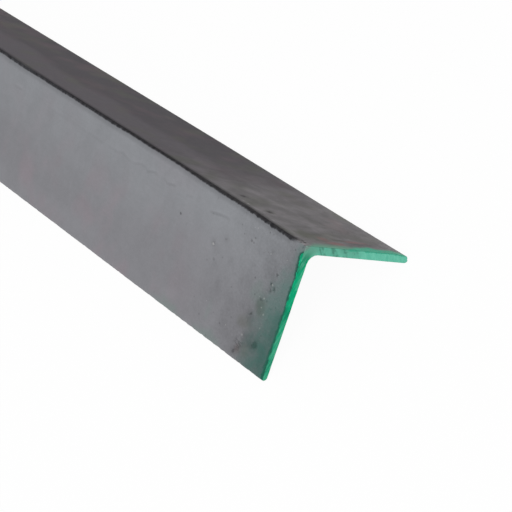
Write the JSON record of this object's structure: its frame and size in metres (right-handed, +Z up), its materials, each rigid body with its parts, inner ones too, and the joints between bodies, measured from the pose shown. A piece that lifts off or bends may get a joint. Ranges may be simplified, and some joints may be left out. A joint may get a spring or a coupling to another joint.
{
  "type": "metal angle section",
  "caption": "Hot-rolled equal steel angle with a rounded root and toes, lying heel up like a roof, one sawn end painted green.",
  "frame": {"origin": "centre of the footprint at floor level: midway between the two toes and midway along the bar", "axes": "+X along the bar towards the painted end, +Z up through the heel, +Y towards the right leg as seen from the painted end"},
  "size_m": [1, 0.0692, 0.0366],
  "materials": {
    "mill_scale_steel": "hot-rolled mill scale, dull dark grey, with green marking paint on one sawn end"
  },
  "bodies": {
    "root": {"angle_section": "mill_scale_steel"}
  },
  "joints": []
}
